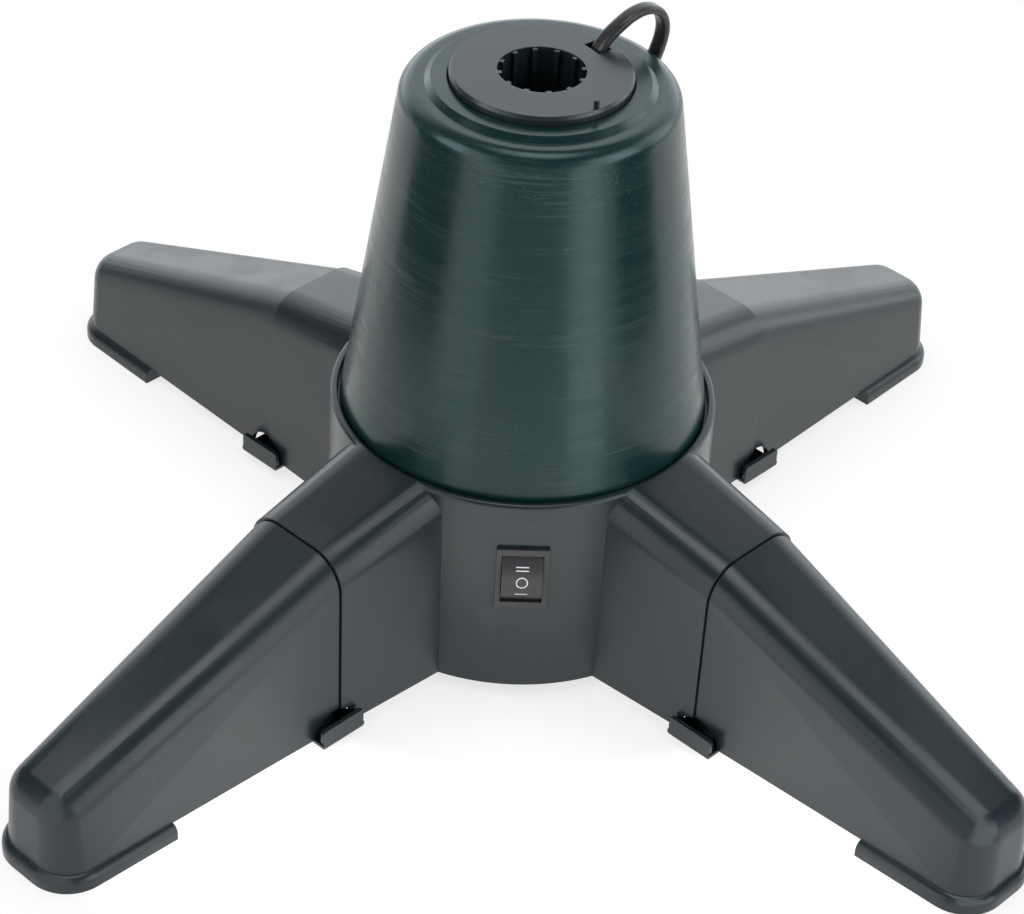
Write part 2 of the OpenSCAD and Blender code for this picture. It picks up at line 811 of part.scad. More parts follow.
module driven_gear() {
    color(white_nylon)
        translate([0, 0, driven_z])
            difference() {
                spur_gear(driven_teeth, driven_t, idler_angle);
                translate([0, 0, -over])
                    cylinder(r = spindle_r, h = driven_t + 2 * over);
                for (i = [0:7])
                    rotate([0, 0, 45 * i])
                        translate([(spindle_r + driven_pitch_r) / 2, 0, -over])
                            cylinder(r = 5.5, h = driven_t + 2 * over, $fn = 32);
            }
}

// ---------------------------------------------------------------- bearing

race_in_r = ball_circle_r - ball_r - 2;
race_out_r = ball_circle_r + ball_r + 2;

module race(z) {
    ring(race_out_r, race_in_r, z, race_t);
}

module thrust_race_lower() {
    color(steel)
        race(lower_race_z);
}

module thrust_race_upper() {
    color(steel)
        race(upper_race_z);
}

module bearing_balls() {
    color(steel)
        at_angles([for (i = [0:ball_count - 1]) 360 / ball_count * i], ball_circle_r)
            translate([0, 0, ball_z])
                sphere(r = ball_r - running, $fn = 32);
}

module ball_cage() {
    color(brass)
        difference() {
            ring(race_out_r - 0.6, race_in_r + 0.6, ball_z - 0.8, 1.6);
            at_angles([for (i = [0:ball_count - 1]) 360 / ball_count * i], ball_circle_r)
                translate([0, 0, ball_z - 2])
                    cylinder(r = ball_r + 0.1, h = 4, $fn = 32);
        }
}

// ---------------------------------------------------------------- slip ring

ring_core_r = spindle_r + 3.4;
slip_ring_t = 1.2;
slip_ring_h = 6;
slip_ring_levels = [5, 17];
brush_angle = 200;

module slip_ring_core() {
    color(white_nylon)
        ring(ring_core_r, spindle_r, ring_core_z, ring_core_h);
}

module slip_rings() {
    color(brass)
        for (h = slip_ring_levels)
            ring(ring_core_r + slip_ring_t, ring_core_r, ring_core_z + h, slip_ring_h);
}

brush_r = ring_core_r + slip_ring_t + seat_gap;
brush_len = 9;

module brush_holder() {
    color(black)
        rotate([0, 0, brush_angle])
            difference() {
                translate([brush_r + 3, -8, chassis_top_z])
                    cube([14, 16, ring_core_h + 2]);
                for (h = slip_ring_levels)
                    translate([brush_r + 2, -2.5, ring_core_z + h + 1])
                        cube([brush_len - 2, 5, slip_ring_h - 2]);
            }
}

module contact_brushes() {
    color([0.2, 0.2, 0.21])
        rotate([0, 0, brush_angle])
            for (h = slip_ring_levels)
                translate([brush_r, -2.5, ring_core_z + h + 1])
                    cube([brush_len, 5, slip_ring_h - 2]);
}

// ---------------------------------------------------------------- output cord

clamp_h = 11;
clamp_seat = 2;             // depth of the pocket that the cord's end stands in
clamp_wall = 3;
clamp_back = 1.4;           // wall of the clamp towards the sleeve

// Saddle under the disc that grips the cord below its slot
module cord_clamp() {
    color(black)
        rotate([0, 0, slot_angle])
            translate([slot_at - slot_d / 2, -slot_w / 2, disc_under_z - clamp_h])
                difference() {
                    translate([-clamp_back, -clamp_wall, 0])
                        cube([slot_d, slot_w + 2 * clamp_wall, clamp_h]);
                    translate([0, 0, clamp_h - clamp_seat])
                        cube([slot_d, slot_w, clamp_seat + over]);
                }
}

function cyl_point(p) = [p[1] * cos(p[0]), p[1] * sin(p[0]), p[2]];
function unit(v) = v / norm(v);

// Unit direction across the flat cord at route point i: level, along the rim
function across_at(i) = [-sin(cord_route[i][0]), cos(cord_route[i][0]), 0];

function route_tangent(i) = let (n = len(cord_route))
    unit(cyl_point(cord_route[min(i + 1, n - 1)]) - cyl_point(cord_route[max(i - 1, 0)]));

// One ring of the cord's flat, round-edged section
function cord_ring(i) = let (
        c = cyl_point(cord_route[i]),
        t = route_tangent(i),
        h = across_at(i),
        w = unit(h - (h * t) * t),
        n = cross(t, w))
    [for (k = [0:cord_sides - 1]) let (
            a = 360 / cord_sides * (k + 0.5),
            x = cord_w / 2 * sign(cos(a)) * pow(abs(cos(a)), 0.6),
            y = cord_t / 2 * sign(sin(a)) * pow(abs(sin(a)), 0.6))
        c + x * w + y * n];

module output_cord() {
    n = len(cord_route);
    s = cord_sides;
    points = [for (i = [0:n - 1]) each cord_ring(i)];
    sides = [for (i = [0:n - 2], k = [0:s - 1]) let (a = i * s + k, b = i * s + (k + 1) % s)
        [[a, a + s, b], [b, a + s, b + s]]];
    color(black)
        polyhedron(points = points, faces = concat(
            [for (pair = sides) each pair],
            [[for (k = [0:s - 1]) k]],
            [[for (k = [s - 1:-1:0]) (n - 1) * s + k]]));
}

// Two-slot outlet moulded on the cord's end, lying against the cone
module output_socket() {
    last = cord_route[len(cord_route) - 1];
    before = cord_route[len(cord_route) - 2];
    tilt = atan((last[1] - before[1]) / (before[2] - last[2]));
    color(black)
        rotate([0, 0, last[0]])
            translate([last[1], 0, last[2]])
                rotate([0, -tilt, 0])
                    difference() {
                        union() {
                            translate([-cord_t / 2, -outlet_w / 2, -outlet_l])
                                cube([outlet_t, outlet_w, outlet_l - outlet_neck]);
                            hull() {
                                translate([-cord_t / 2, -outlet_w / 2, -outlet_neck - slice])
                                    cube([outlet_t, outlet_w, slice]);
                                translate([-cord_t / 2, -cord_w / 2 - 1, -slice])
                                    cube([cord_t + 1, cord_w + 2, slice]);
                            }
                        }
                        for (s = [-1, 1])
                            translate([outlet_t / 2 - cord_t / 2 - 3, s * 6.35 - 1, -outlet_l - over])
                                cube([6.4, 2, 17]);
                    }
}

// ---------------------------------------------------------------- switch

pivot_y = -(panel_y - 3);
crown_out = 7.5;            // how far the rocker's crown stands before its pivot
crown_r = 20.6;             // radius of the crown
rocker_pin_r = 1.2;
housing_w = 21.6;
housing_h = 28.4;

panel_run = 12;             // height over which the flat panel runs out into the drum

// Flat seat of the switch, which runs out above and below it, and the housing's cut-out
module switch_panel_cut() {
    half_w = sqrt(hub_r * hub_r - panel_y * panel_y) + 0.5;
    out = hub_r + 5;
    run = panel_run * (out - panel_y) / (hub_r - panel_y);
    low = switch_z - switch_h / 2 - 1;
    high = switch_z + switch_h / 2 + 3;
    stand_up(-half_w, 2 * half_w)
        polygon([[-panel_y, low], [-panel_y, high], [-out, high + run], [-out, low - run]]);
    translate([-housing_w / 2 - 0.1, -out, switch_z - housing_h / 2 - 0.1])
        cube([housing_w + 0.2, 15, housing_h + 0.2]);
}

module switch_body() {
    well_w = rocker_w + 0.4;
    color(black)
        difference() {
            union() {
                translate([-switch_w / 2, -panel_y - bezel_t, switch_z - switch_h / 2])
                    cube([switch_w, bezel_t, switch_h]);
                translate([-housing_w / 2, -panel_y - eps, switch_z - housing_h / 2])
                    cube([housing_w, switch_depth, housing_h]);
            }
            translate([-well_w / 2, -panel_y - bezel_t - over, switch_z - rocker_r - seat_gap])
                cube([well_w, bezel_t + over + 9.2, 2 * (rocker_r + seat_gap)]);
            translate([0, pivot_y, switch_z])
                rotate([0, 90, 0])
                    translate([0, 0, -housing_w / 2 - over])
                        cylinder(r = rocker_pin_r + running, h = housing_w + 2 * over, $fn = 32);
        }
}

module switch_rocker() {
    color(black)
        translate([0, pivot_y, switch_z])
            rotate([0, 90, 0]) {
                intersection() {
                    translate([0, 0, -rocker_w / 2])
                        cylinder(r = rocker_r, h = rocker_w, $fn = 96);
                    translate([0, crown_r - crown_out, -rocker_w / 2])
                        cylinder(r = crown_r, h = rocker_w, $fn = 128);
                    translate([-2 * rocker_r, -2 * rocker_r, -rocker_w / 2])
                        cube([4 * rocker_r, 2 * rocker_r + 3.4, rocker_w]);
                }
                translate([0, 0, -rocker_w / 2 - 1.4])
                    cylinder(r = rocker_pin_r, h = rocker_w + 2.8, $fn = 32);
            }
}

module switch_terminals() {
    color(brass)
        for (h = [-9, 0, 9])
            translate([-2.4, -panel_y + switch_depth, switch_z + h - 0.4])
                cube([4.8, 8, 0.8]);
}

// ---------------------------------------------------------------- legs

leg_low_z = wall_z - 0.3;
leg_seam_z = stub_z - seam_step;
leg_seam_w = stub_w - 2 * seam_step;
leg_drop = (leg_seam_z - leg_end_z) / (leg_u - leg_seam_u);
collar_t = 3;               // thickness of the collar that joins a leg's shell and tongue
rib_root = 0.5;             // how far a rib starts inside the collar

end_draft = 0.8;            // draft of a leg's end wall
side_draft = 2.6;           // draft of a leg's side walls at its end
end_post_r = end_round + 2; // corners of the leg's end in plan

// Half of the leg's width at its lower edge, at distance u
function leg_half(u) = leg_end_w / 2 + (leg_seam_w - leg_end_w) / 2
    * (leg_u - end_post_r - u) / (leg_u - end_post_r - leg_seam_u);

// Height of the leg's upper line at distance u
function leg_top(u) = leg_seam_z - leg_drop * (u - leg_seam_u);

// The leg's outer form, or with inset > 0 the form that far inside it, down to `low`
module leg_form(inset, low) {
    ball_u = leg_u - end_draft - end_round;
    drop = end_round / cos(atan(leg_drop));
    hull() {
        stand_up(leg_seam_u, slice)
            polygon(shell_section(leg_seam_w / 2 - inset, leg_seam_w / 2 - 0.9 - inset,
                low, leg_seam_z - inset * 1.05, edge_round - inset));
        for (s = [-1, 1]) {
            translate([ball_u, s * (leg_end_w / 2 - side_draft - end_round), leg_top(ball_u) - drop])
                sphere(r = end_round - inset, $fn = 40);
            translate([leg_u - end_post_r, s * (leg_end_w / 2 - end_post_r), low])
                cylinder(r = end_post_r - inset, h = 1, $fn = 40);
        }
    }
}

// Foot plate: the leg's plan with a ledge round three sides, its upper edge rounded
module foot_form() {
    ledge_round = foot_ledge + 1;
    corner = end_post_r + foot_ledge;
    end_half = leg_end_w / 2 + foot_ledge;
    start_half = leg_half(foot_start_u) + foot_ledge;
    hull()
        for (a = [0:22.5:90]) {
            inset = ledge_round * (1 - cos(a));
            z = foot_h - ledge_round * (1 - sin(a));
            for (s = [-1, 1])
                translate([leg_u + foot_ledge - corner, s * (end_half - corner), 0])
                    cylinder(r = corner - inset, h = z, $fn = 48);
            translate([foot_start_u, -start_half + inset, 0])
                cube([slice, 2 * (start_half - inset), z]);
        }
}

module leg(angle) {
    low = leg_low_z;
    color(leg_green)
    rotate([0, 0, angle]) {
        difference() {
            union() {
                leg_form(0, low);
                foot_form();
            }
            difference() {
                leg_form(leg_wall, -2 * over);
                translate([foot_start_u, -leg_end_w, -over])
                    cube([foot_len, 2 * leg_end_w, over + leg_wall]);
            }
            arch_cut(stub_root_w);
        }
        leg_tongue();
        leg_ribs();
    }
}

// Channel that slides into the stub's socket, and the collar that joins it to the shell
module leg_tongue() {
    low = leg_low_z;
    radius = edge_round - leg_wall - seat_gap;
    difference() {
        stand_up(leg_seam_u - tongue_len, tongue_len + collar_t)
            polygon(shell_section(tongue_w / 2, tongue_w / 2, low, tongue_z, radius));
        stand_up(leg_seam_u - tongue_len - over, tongue_len + collar_t + 2 * over)
            polygon(shell_section(tongue_w / 2 - leg_wall, tongue_w / 2 - leg_wall, low - over,
                tongue_z - leg_wall, radius - leg_wall));
        arch_cut(stub_root_w);
    }
    difference() {
        stand_up(leg_seam_u, collar_t)
            polygon(shell_section(leg_seam_w / 2 - leg_wall / 2, leg_seam_w / 2 - 0.9 - leg_wall / 2,
                low + arch_r + 4, leg_seam_z - 2, edge_round - 2));
        stand_up(leg_seam_u - over, collar_t + 2 * over)
            polygon(shell_section(tongue_w / 2 - leg_wall, tongue_w / 2 - leg_wall, low - over,
                tongue_z - leg_wall, radius - leg_wall));
    }
}

// Moulded ribs inside the leg: one along its middle and two across it
module leg_ribs() {
    rib = 2.4;
    rib_low = leg_low_z + 6;
    first = leg_seam_u + collar_t - rib_root;
    last = foot_start_u + 22;
    intersection() {
        leg_form(leg_wall / 2, rib_low);
        union() {
            translate([first, -rib / 2, rib_low])
                cube([last - first, rib, leg_seam_z]);
            for (u = [leg_seam_u + 34, leg_seam_u + 68])
                translate([u, -leg_seam_w / 2, rib_low])
                    cube([rib, leg_seam_w, leg_seam_z]);
        }
    }
}

clip_lip = 0.5;             // how far the clip's bar stands out past its plates
clip_edge = 0.7;            // chamfer along the clip's edges
finger_len = 10;            // length of a clip's inner finger
finger_h = 12;              // height of the finger above the bar

// Latch clip: a bar under the seam with a plate outside each wall and a finger inside
module clip(angle) {
    finger_v = tongue_w / 2 - leg_wall - seat_gap;
    bar_half = clip_len / 2 + clip_lip;
    plate_half = clip_len / 2;
    color(leg_green)
    rotate([0, 0, angle])
        translate([clip_u, 0, leg_low_z - clip_t])
            rotate([90, 0, 0]) {
                translate([0, 0, -clip_outer_v])
                    linear_extrude(2 * clip_outer_v)
                        polygon([[-bar_half + clip_edge, 0], [bar_half - clip_edge, 0],
                            [bar_half, clip_edge], [bar_half, clip_t], [-bar_half, clip_t],
                            [-bar_half, clip_edge]]);
                for (s = [-1, 1]) {
                    translate([0, 0, s * (clip_outer_v - clip_t / 2) - clip_t / 2])
                        linear_extrude(clip_t)
                            polygon([[-plate_half, clip_t / 2], [plate_half, clip_t / 2],
                                [plate_half, clip_h - clip_edge], [plate_half - clip_edge, clip_h],
                                [-plate_half + clip_edge, clip_h], [-plate_half, clip_h - clip_edge]]);
                    translate([-finger_len / 2, 0, s * (finger_v - clip_t / 2) - clip_t / 2])
                        cube([finger_len, clip_t + finger_h, clip_t]);
                }
            }
}

module leg_front_right() { leg(leg_angles[0]); }
module leg_rear_right() { leg(leg_angles[1]); }
module leg_rear_left() { leg(leg_angles[2]); }
module leg_front_left() { leg(leg_angles[3]); }
module clip_front_right() { clip(leg_angles[0]); }
module clip_rear_right() { clip(leg_angles[1]); }
module clip_rear_left() { clip(leg_angles[2]); }
module clip_front_left() { clip(leg_angles[3]); }

base_hub();
base_plate();
base_plate_screws();
drum_cover();
cover_screws();
chassis_plate();
chassis_screws();
drive_motor();
motor_screws();
motor_shaft();
motor_pinion();
idler_gear();
idler_pin();
driven_gear();
spindle_tube();
spindle_screws();
turntable();
index_pin();
upper_bushing();
thrust_race_lower();
thrust_race_upper();
bearing_balls();
ball_cage();
slip_ring_core();
slip_rings();
brush_holder();
contact_brushes();
cord_clamp();
output_cord();
output_socket();
switch_body();
switch_rocker();
switch_terminals();
mains_gland();
leg_front_right();
leg_rear_right();
leg_rear_left();
leg_front_left();
clip_front_right();
clip_rear_right();
clip_rear_left();
clip_front_left();
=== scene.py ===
"""Rotating stand for a small artificial tree: finishes, output cord, switch marks, camera and light."""

import json
import math

import bpy
from mathutils import Matrix, Vector


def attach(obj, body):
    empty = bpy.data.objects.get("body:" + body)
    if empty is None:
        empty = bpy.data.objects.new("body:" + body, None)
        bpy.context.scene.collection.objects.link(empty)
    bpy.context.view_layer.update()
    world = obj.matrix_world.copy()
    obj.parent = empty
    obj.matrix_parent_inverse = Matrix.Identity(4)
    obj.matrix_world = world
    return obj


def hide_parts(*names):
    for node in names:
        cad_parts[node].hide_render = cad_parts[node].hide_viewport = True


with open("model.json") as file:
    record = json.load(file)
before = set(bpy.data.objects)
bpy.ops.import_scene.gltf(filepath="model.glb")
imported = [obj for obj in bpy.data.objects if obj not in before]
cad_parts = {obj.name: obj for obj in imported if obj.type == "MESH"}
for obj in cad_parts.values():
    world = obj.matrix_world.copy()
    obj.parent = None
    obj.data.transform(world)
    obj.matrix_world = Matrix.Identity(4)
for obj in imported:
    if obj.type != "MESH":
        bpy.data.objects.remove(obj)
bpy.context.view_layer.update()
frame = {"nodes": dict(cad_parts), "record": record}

NODES = frame["nodes"]

MM = 0.001


# ------------------------------------------------------------------ camera

# Offsets and focal length are in pixels of the photograph, angles in degrees, distances in metres.

PHOTO_WIDTH = 1024
SENSOR_WIDTH = 36.0
FOCAL_PIXELS = 3164.0
CENTRE_OFFSET_X, CENTRE_OFFSET_Y = 9.6, -42.4
CAMERA_AZIMUTH, CAMERA_ELEVATION, CAMERA_ROLL = -2.88, 36.36, 3.4
CAMERA_DISTANCE = 1.435
CAMERA_TARGET = Vector((0.0, 0.0, 0.0933))
CLIP_NEAR, CLIP_FAR = 0.05, 50.0


def make_camera():
    """A camera at the photograph's viewing angle, with its slight roll."""
    azimuth, elevation = math.radians(CAMERA_AZIMUTH), math.radians(CAMERA_ELEVATION)
    back = Vector((
        math.sin(azimuth) * math.cos(elevation),
        -math.cos(azimuth) * math.cos(elevation),
        math.sin(elevation),
    ))
    level_right = Vector((math.cos(azimuth), math.sin(azimuth), 0.0))
    level_up = back.cross(level_right)
    roll = math.radians(CAMERA_ROLL)
    right = math.cos(roll) * level_right + math.sin(roll) * level_up
    up = math.cos(roll) * level_up - math.sin(roll) * level_right

    data = bpy.data.cameras.new("camera")
    data.sensor_width = SENSOR_WIDTH
    data.lens = FOCAL_PIXELS * SENSOR_WIDTH / PHOTO_WIDTH
    data.shift_x = -CENTRE_OFFSET_X / PHOTO_WIDTH
    data.shift_y = CENTRE_OFFSET_Y / PHOTO_WIDTH
    data.clip_start, data.clip_end = CLIP_NEAR, CLIP_FAR
    camera = bpy.data.objects.new("camera", data)
    bpy.context.scene.collection.objects.link(camera)
    rotation = Matrix((right, up, back)).transposed().to_4x4()
    camera.matrix_world = Matrix.Translation(CAMERA_TARGET + back * CAMERA_DISTANCE) @ rotation
    bpy.context.scene.camera = camera


# ------------------------------------------------------------------ node helpers

BEVEL_SAMPLES = 4


class Tree:
    """Short-hand for building the nodes of a material or a world."""

    def __init__(self, owner):
        owner.use_nodes = True
        self.owner = owner
        self.nodes = owner.node_tree.nodes
        self.links = owner.node_tree.links
        self.shader = self.nodes.get("Principled BSDF")

    def add(self, kind, **settings):
        """A new node with these settings."""
        node = self.nodes.new(kind)
        for name, value in settings.items():
            setattr(node, name, value)
        return node

    def link(self, output, socket):
        self.links.new(output, socket)

    def position(self, scale=(1.0, 1.0, 1.0)):
        """Object coordinates, in metres, stretched by scale."""
        coordinates = self.add("ShaderNodeTexCoord")
        mapping = self.add("ShaderNodeMapping")
        mapping.inputs["Scale"].default_value = scale
        self.link(coordinates.outputs["Object"], mapping.inputs["Vector"])
        return mapping.outputs["Vector"]

    def split(self, vector):
        """A vector's parts, as sockets X, Y and Z."""
        node = self.add("ShaderNodeSeparateXYZ")
        self.link(vector, node.inputs["Vector"])
        return node.outputs

    def noise(self, scale, detail=3.0, roughness=0.55, stretch=(1.0, 1.0, 1.0)):
        """Noise that sits on the object, as a number around 0.5."""
        node = self.add("ShaderNodeTexNoise")
        node.inputs["Scale"].default_value = scale
        node.inputs["Detail"].default_value = detail
        node.inputs["Roughness"].default_value = roughness
        self.link(self.position(stretch), node.inputs["Vector"])
        return node.outputs["Fac"]

    def remap(self, value, low_in, high_in, low_out, high_out, smooth=True):
        """The value, moved from its old range to a new one and held within it."""
        node = self.add("ShaderNodeMapRange")
        node.interpolation_type = "SMOOTHSTEP" if smooth else "LINEAR"
        self.link(value, node.inputs["Value"])
        ends = {"From Min": low_in, "From Max": high_in, "To Min": low_out, "To Max": high_out}
        for name, number in ends.items():
            node.inputs[name].default_value = number
        return node.outputs["Result"]

    def math(self, operation, a, b):
        """One step of arithmetic. Each of a and b is a number or a socket."""
        node = self.add("ShaderNodeMath", operation=operation)
        for socket, value in zip(node.inputs, (a, b)):
            if isinstance(value, (int, float)):
                socket.default_value = value
            else:
                self.link(value, socket)
        return node.outputs["Value"]

    def mix(self, factor, a, b):
        """A colour between a and b. Each is a colour or a socket."""
        node = self.add("ShaderNodeMix", data_type="RGBA")
        sockets = [s for s in node.inputs if s.type == "RGBA"]
        self.link(factor, node.inputs["Factor"])
        for socket, value in zip(sockets, (a, b)):
            if isinstance(value, tuple):
                socket.default_value = (*value, 1.0)
            else:
                self.link(value, socket)
        return next(s for s in node.outputs if s.type == "RGBA")

    def bump(self, height, strength, distance, normal=None):
        """A normal that follows small heights, on top of another one if given."""
        node = self.add("ShaderNodeBump")
        node.inputs["Strength"].default_value = strength
        node.inputs["Distance"].default_value = distance
        self.link(height, node.inputs["Height"])
        if normal is not None:
            self.link(normal, node.inputs["Normal"])
        return node.outputs["Normal"]

    def soft_edges(self, radius):
        """A normal that rounds the edges off by a small radius."""
        node = self.add("ShaderNodeBevel", samples=BEVEL_SAMPLES)
        node.inputs["Radius"].default_value = radius
        return node.outputs["Normal"]

    def bell(self, value, centre, half_width, softness):
        """1 within half_width of centre, falling smoothly to 0 on both sides."""
        away = self.math("ABSOLUTE", self.math("SUBTRACT", value, centre), 0.0)
        return self.remap(away, half_width - softness, half_width + softness, 1.0, 0.0)

    def blend(self, weight, a, b):
        """The number a where weight is 0, and b where it is 1."""
        part = self.math("MULTIPLY", weight, self.math("SUBTRACT", b, a))
        return self.math("ADD", a, part)

    def curve(self, value, stops):
        """A number that follows (place, number) stops, with places from 0 to 1."""
        ramp = self.add("ShaderNodeValToRGB")
        ramp.color_ramp.interpolation = "EASE"
        elements = ramp.color_ramp.elements
        for _ in stops[2:]:
            elements.new(0.5)
        for element, (place, _) in zip(elements, stops):
            element.position = place
        for element, (_, number) in zip(elements, stops):
            element.color = (number, number, number, 1.0)
        self.link(value, ramp.inputs["Fac"])
        return ramp.outputs["Color"]


# ------------------------------------------------------------------ materials

PLASTIC_IOR = 1.5
COVER_SHEEN = (0.84, 1.0, 0.99)
# Height of the cover's shoulder, where flecks gather, in metres
SHOULDER_Z, SHOULDER_HALF_WIDTH, SHOULDER_SOFTNESS = 0.253, 0.012, 0.010


def wear_masks(tree):
    """Two masks shared by the plastics: broad handling smears, and small light scuffs."""
    smears = tree.remap(tree.noise(14.0, 4.0, 0.6), 0.42, 0.68, 0.0, 1.0)
    patches = tree.remap(tree.noise(30.0, 2.0), 0.55, 0.72, 0.0, 1.0)
    specks = tree.remap(tree.noise(1100.0, 1.0, 0.5), 0.71, 0.76, 0.0, 1.0)
    return smears, tree.math("MULTIPLY", patches, specks)


def moulded_plastic(name, dark, light, scuff, roughness, grain=0.05, edge_radius=0.5 * MM):
    """Satin injection-moulded plastic with fine grain, broad smears and small scuffs."""
    tree = Tree(bpy.data.materials.new(name))
    smears, scuffs = wear_masks(tree)
    tone = tree.mix(tree.noise(6.0, 2.0), dark, light)
    colour = tree.mix(tree.math("MULTIPLY", scuffs, 0.5), tone, scuff)
    tree.link(colour, tree.shader.inputs["Base Color"])
    rough = tree.math("ADD", tree.remap(smears, 0.0, 1.0, roughness, roughness + 0.07),
                      tree.math("MULTIPLY", scuffs, 0.12))
    tree.link(rough, tree.shader.inputs["Roughness"])
    soft = tree.soft_edges(edge_radius)
    wave = tree.bump(tree.noise(22.0, 1.0), 0.25, 0.3 * MM, soft)
    fine = tree.bump(tree.noise(1800.0, 2.0, 0.6), grain, 0.06 * MM, wave)
    tree.link(fine, tree.shader.inputs["Normal"])
    tree.shader.inputs["IOR"].default_value = PLASTIC_IOR
    return tree.owner


def turned_plastic(name, dark, light, scuff, roughness):
    """The cover's plastic, with scuffs that run round the axis and flecks on its shoulder."""
    tree = Tree(bpy.data.materials.new(name))
    smears, scuffs = wear_masks(tree)
    streaks = tree.noise(1.0, 5.0, 0.65, stretch=(26.0, 26.0, 1500.0))
    broad_streaks = tree.noise(1.0, 3.0, 0.6, stretch=(9.0, 9.0, 260.0))
    worn = tree.remap(tree.noise(1.0, 3.0, 0.6, stretch=(16.0, 16.0, 42.0)), 0.44, 0.66, 0.0, 1.0)
    lines = tree.math("MULTIPLY", tree.remap(streaks, 0.5, 0.68, 0.0, 1.0), worn)
    tone = tree.mix(tree.noise(7.0, 2.0), dark, light)
    marked = tree.mix(tree.math("MULTIPLY", lines, 0.26), tone, scuff)
    scuffed = tree.mix(tree.math("MULTIPLY", scuffs, 0.6), marked, scuff)
    height = tree.split(tree.position())["Z"]
    shoulder = tree.bell(height, SHOULDER_Z, SHOULDER_HALF_WIDTH, SHOULDER_SOFTNESS)
    grit = tree.remap(tree.noise(700.0, 2.0, 0.6, stretch=(1.0, 1.0, 2.5)), 0.65, 0.71, 0.0, 1.0)
    flecks = tree.math("MULTIPLY", shoulder, grit)
    colour = tree.mix(tree.math("MULTIPLY", flecks, 0.6), scuffed, scuff)
    tree.link(colour, tree.shader.inputs["Base Color"])
    base = tree.remap(broad_streaks, 0.35, 0.65, roughness - 0.03, roughness + 0.05)
    rough = tree.math("ADD", base, tree.math("MULTIPLY", lines, 0.12))
    tree.link(rough, tree.shader.inputs["Roughness"])
    soft = tree.soft_edges(0.5 * MM)
    wave = tree.bump(tree.noise(18.0, 1.0), 0.3, 0.3 * MM, soft)
    brushed = tree.bump(streaks, 0.35, 0.03 * MM, wave)
    fine = tree.bump(tree.noise(1600.0, 2.0, 0.6), 0.05, 0.06 * MM, brushed)
    tree.link(fine, tree.shader.inputs["Normal"])
    tree.shader.inputs["IOR"].default_value = PLASTIC_IOR
    tree.shader.inputs["Specular Tint"].default_value = (*COVER_SHEEN, 1.0)
    return tree.owner


def metal(name, colour, roughness, stretch=(1.0, 1.0, 1.0), scale=900.0):
    """Machined or drawn metal with faint lines and uneven polish."""
    tree = Tree(bpy.data.materials.new(name))
    tree.shader.inputs["Metallic"].default_value = 1.0
    lines = tree.noise(scale, 3.0, 0.6, stretch=stretch)
    shade = tuple(c * 0.82 for c in colour)
    tone = tree.mix(tree.remap(lines, 0.35, 0.65, 0.0, 1.0), shade, colour)
    tree.link(tone, tree.shader.inputs["Base Color"])
    polish = tree.remap(lines, 0.3, 0.7, roughness - 0.05, roughness + 0.08)
    tree.link(polish, tree.shader.inputs["Roughness"])
    fine = tree.bump(lines, 0.12, 0.02 * MM, tree.soft_edges(0.2 * MM))
    tree.link(fine, tree.shader.inputs["Normal"])
    return tree.owner


def nylon(name, colour):
    """Pale engineering plastic, faintly cloudy."""
    tree = Tree(bpy.data.materials.new(name))
    cloud = tree.noise(160.0, 3.0)
    shade = tuple(c * 0.9 for c in colour)
    tree.link(tree.mix(cloud, shade, colour), tree.shader.inputs["Base Color"])
    tree.link(tree.remap(cloud, 0.3, 0.7, 0.34, 0.46), tree.shader.inputs["Roughness"])
    fine = tree.bump(tree.noise(1400.0, 2.0), 0.06, 0.05 * MM, tree.soft_edges(0.25 * MM))
    tree.link(fine, tree.shader.inputs["Normal"])
    return tree.owner


def cord_jacket(name):
    """Satin jacket of a flat flexible lead, a little uneven and dusty."""
    tree = Tree(bpy.data.materials.new(name))
    dust = tree.remap(tree.noise(420.0, 3.0, 0.6), 0.55, 0.75, 0.0, 1.0)
    tone = tree.mix(tree.noise(60.0, 2.0), (0.020, 0.018, 0.018), (0.032, 0.029, 0.029))
    colour = tree.mix(tree.math("MULTIPLY", dust, 0.25), tone, (0.12, 0.11, 0.11))
    tree.link(colour, tree.shader.inputs["Base Color"])
    tree.link(tree.remap(tree.noise(90.0, 3.0), 0.35, 0.65, 0.30, 0.42), tree.shader.inputs["Roughness"])
    wave = tree.bump(tree.noise(150.0, 2.0), 0.25, 0.15 * MM)
    tree.link(tree.bump(tree.noise(2200.0, 1.0), 0.08, 0.04 * MM, wave), tree.shader.inputs["Normal"])
    return tree.owner


def print_white(name):
    """Pad-printed white ink."""
    tree = Tree(bpy.data.materials.new(name))
    wear = tree.remap(tree.noise(2600.0, 2.0), 0.35, 0.6, 0.0, 1.0)
    tree.link(tree.mix(wear, (0.62, 0.62, 0.62), (0.82, 0.82, 0.82)), tree.shader.inputs["Base Color"])
    tree.shader.inputs["Roughness"].default_value = 0.5
    return tree.owner


# ------------------------------------------------------------------ finishes

SMOOTH_ANGLE = math.radians(28)
WELD_DISTANCE = 0.002 * MM


